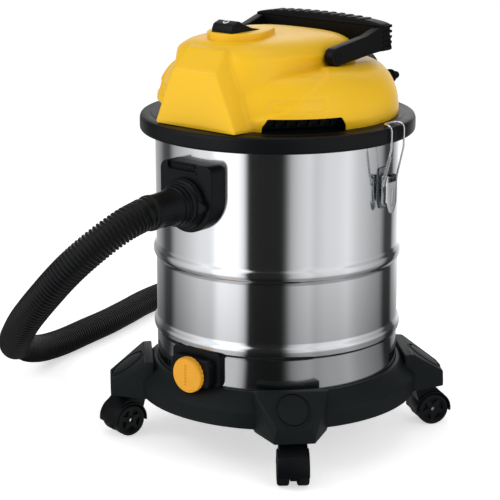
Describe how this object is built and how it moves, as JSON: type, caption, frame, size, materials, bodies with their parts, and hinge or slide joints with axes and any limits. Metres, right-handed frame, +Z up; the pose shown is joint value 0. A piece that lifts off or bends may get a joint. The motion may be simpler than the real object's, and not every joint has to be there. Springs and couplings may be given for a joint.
{
  "type": "shop vacuum",
  "caption": "Wet and dry drum vacuum on a caster base: steel tank, latched motor head, folding handle, drain and corrugated hose.",
  "frame": {"origin": "on the floor, under the tank's axis", "axes": "+Z up; the hose inlet, drain and switch face -Y; +X is to the right seen from above with the front down"},
  "size_m": [0.6663, 0.8101, 0.5357],
  "materials": {
    "drum_steel": "polished stainless sheet with a fine vertical grain",
    "base_plastic": "moulded black polypropylene, fine texture",
    "black_plastic": "moulded black ABS, satin",
    "handle_plastic": "moulded black polypropylene with grip ribs",
    "hose_plastic": "black blow-moulded polyethylene, satin",
    "cap_plastic": "orange-yellow ABS, satin gloss",
    "cover_plastic": "yellow ABS, moulded gloss",
    "rubber": "black rubber",
    "plated_steel": "bright nickel-plated steel",
    "latch_steel": "dark painted steel",
    "motor_steel": "pressed steel",
    "white_nylon": "white nylon",
    "filter_paper": "pleated filter paper",
    "caster_plastic": "moulded black nylon",
    "wheel_nylon": "black nylon wheel, worn matt tread"
  },
  "bodies": {
    "root": {"tank": "drum_steel", "base_tray": "base_plastic", "inlet_housing": "black_plastic", "inlet_deflector": "black_plastic", "drain_housing": "black_plastic", "head_flange": "black_plastic", "vent_grille_right": "black_plastic", "vent_grille_left": "black_plastic", "blower_port": "black_plastic", "switch_body": "black_plastic", "float_cage": "black_plastic", "filter_cap": "black_plastic", "hose": "hose_plastic", "hose_cuff": "hose_plastic", "hose_end_cuff": "hose_plastic", "head_cover": "cover_plastic", "tank_seal": "rubber", "motor_gasket": "rubber", "cable_gland": "rubber", "handle_pin_right": "plated_steel", "handle_pin_left": "plated_steel", "latch_bracket_right": "latch_steel", "latch_bracket_left": "latch_steel", "motor": "motor_steel", "fan_shroud": "motor_steel", "filter_cartridge": "filter_paper"},
    "caster_front_right": {"caster_front_right_hood": "caster_plastic", "caster_front_right_stem": "plated_steel"},
    "caster_front_right_wheels": {"caster_front_right_wheel_a": "wheel_nylon", "caster_front_right_wheel_b": "wheel_nylon", "caster_front_right_axle": "plated_steel"},
    "caster_front_left": {"caster_front_left_hood": "caster_plastic", "caster_front_left_stem": "plated_steel"},
    "caster_front_left_wheels": {"caster_front_left_wheel_a": "wheel_nylon", "caster_front_left_wheel_b": "wheel_nylon", "caster_front_left_axle": "plated_steel"},
    "caster_rear_right": {"caster_rear_right_hood": "caster_plastic", "caster_rear_right_stem": "plated_steel"},
    "caster_rear_right_wheels": {"caster_rear_right_wheel_a": "wheel_nylon", "caster_rear_right_wheel_b": "wheel_nylon", "caster_rear_right_axle": "plated_steel"},
    "caster_rear_left": {"caster_rear_left_hood": "caster_plastic", "caster_rear_left_stem": "plated_steel"},
    "caster_rear_left_wheels": {"caster_rear_left_wheel_a": "wheel_nylon", "caster_rear_left_wheel_b": "wheel_nylon", "caster_rear_left_axle": "plated_steel"},
    "carry_handle": {"carry_handle": "handle_plastic"},
    "switch_rocker": {"switch_rocker": "black_plastic"},
    "lock_ring": {"inlet_lock_ring": "black_plastic"},
    "drain_seal": {"drain_seal": "rubber"},
    "drain_cap": {"drain_cap": "cap_plastic"},
    "latch_lever_right": {"latch_lever_right": "plated_steel"},
    "latch_bail_right": {"latch_bail_right": "plated_steel"},
    "latch_lever_left": {"latch_lever_left": "plated_steel"},
    "latch_bail_left": {"latch_bail_left": "plated_steel"},
    "rotor": {"fan_impeller": "white_nylon", "motor_shaft": "motor_steel"},
    "float_ball": {"float_ball": "white_nylon"}
  },
  "joints": [
    {"name": "caster_front_right_swivel", "type": "hinge", "parent": "root", "child": "caster_front_right", "pos_m": [0.13223, -0.13223, 0.05], "axis": [0, 0, 1], "continuous": true},
    {"name": "caster_front_right_roll", "type": "hinge", "parent": "caster_front_right", "child": "caster_front_right_wheels", "pos_m": [0.14093, -0.14189, 0.0205], "axis": [0.7431, 0.6691, 0], "continuous": true},
    {"name": "caster_front_left_swivel", "type": "hinge", "parent": "root", "child": "caster_front_left", "pos_m": [-0.13223, -0.13223, 0.05], "axis": [0, 0, 1], "continuous": true},
    {"name": "caster_front_left_roll", "type": "hinge", "parent": "caster_front_left", "child": "caster_front_left_wheels", "pos_m": [-0.13493, -0.14494, 0.0205], "axis": [0.9781, -0.2079, 0], "continuous": true},
    {"name": "caster_rear_right_swivel", "type": "hinge", "parent": "root", "child": "caster_rear_right", "pos_m": [0.13223, 0.13223, 0.05], "axis": [0, 0, 1], "continuous": true},
    {"name": "caster_rear_right_roll", "type": "hinge", "parent": "caster_rear_right", "child": "caster_rear_right_wheels", "pos_m": [0.1395, 0.14301, 0.0205], "axis": [-0.829, 0.5592, 0], "continuous": true},
    {"name": "caster_rear_left_swivel", "type": "hinge", "parent": "root", "child": "caster_rear_left", "pos_m": [-0.13223, 0.13223, 0.05], "axis": [0, 0, 1], "continuous": true},
    {"name": "caster_rear_left_roll", "type": "hinge", "parent": "caster_rear_left", "child": "caster_rear_left_wheels", "pos_m": [-0.14503, 0.13449, 0.0205], "axis": [-0.1736, -0.9848, 0], "continuous": true},
    {"name": "handle_fold", "type": "hinge", "parent": "root", "child": "carry_handle", "pos_m": [0, -0.009, 0.4915], "axis": [1, 0, 0], "range_deg": [0, 80]},
    {"name": "switch_rock", "type": "hinge", "parent": "root", "child": "switch_rocker", "pos_m": [0, -0.0795, 0.5175], "axis": [1, 0, 0], "range_deg": [0, 8]},
    {"name": "hose_lock_turn", "type": "hinge", "parent": "root", "child": "lock_ring", "pos_m": [0, -0.178, 0.328], "axis": [0, -1, 0], "range_deg": [0, 50]},
    {"name": "drain_cap_travel", "type": "slide", "parent": "root", "child": "drain_seal", "axis": [0, -1, 0], "range_m": [0, 0.0076]},
    {"name": "drain_cap_turn", "type": "hinge", "parent": "drain_seal", "child": "drain_cap", "pos_m": [0, -0.17, 0.114], "axis": [0, -1, 0], "range_deg": [0, 900]},
    {"name": "latch_right_open", "type": "hinge", "parent": "root", "child": "latch_lever_right", "pos_m": [0.1615, 0.013, 0.35], "axis": [0, -1, 0], "range_deg": [0, 150]},
    {"name": "latch_right_bail", "type": "hinge", "parent": "latch_lever_right", "child": "latch_bail_right", "pos_m": [0.1621, 0.013, 0.341], "axis": [0, -1, 0], "range_deg": [-181, 0]},
    {"name": "latch_left_open", "type": "hinge", "parent": "root", "child": "latch_lever_left", "pos_m": [-0.1615, 0.013, 0.35], "axis": [0, 1, 0], "range_deg": [0, 150]},
    {"name": "latch_left_bail", "type": "hinge", "parent": "latch_lever_left", "child": "latch_bail_left", "pos_m": [-0.1621, 0.013, 0.341], "axis": [0, 1, 0], "range_deg": [-181, 0]},
    {"name": "motor_spin", "type": "hinge", "parent": "root", "child": "rotor", "pos_m": [0, 0, 0.4], "axis": [0, 0, 1], "continuous": true},
    {"name": "float_lift", "type": "slide", "parent": "root", "child": "float_ball", "axis": [0, 0, 1], "range_m": [0, 0.03]}
  ],
  "couplings": [
    {"joint": "drain_cap_travel", "follows": "drain_cap_turn", "m_per_rad": 0.00047746},
    {"joint": "latch_right_bail", "follows": "latch_right_open", "ratio": -1.2},
    {"joint": "latch_left_bail", "follows": "latch_left_open", "ratio": -1.2}
  ]
}
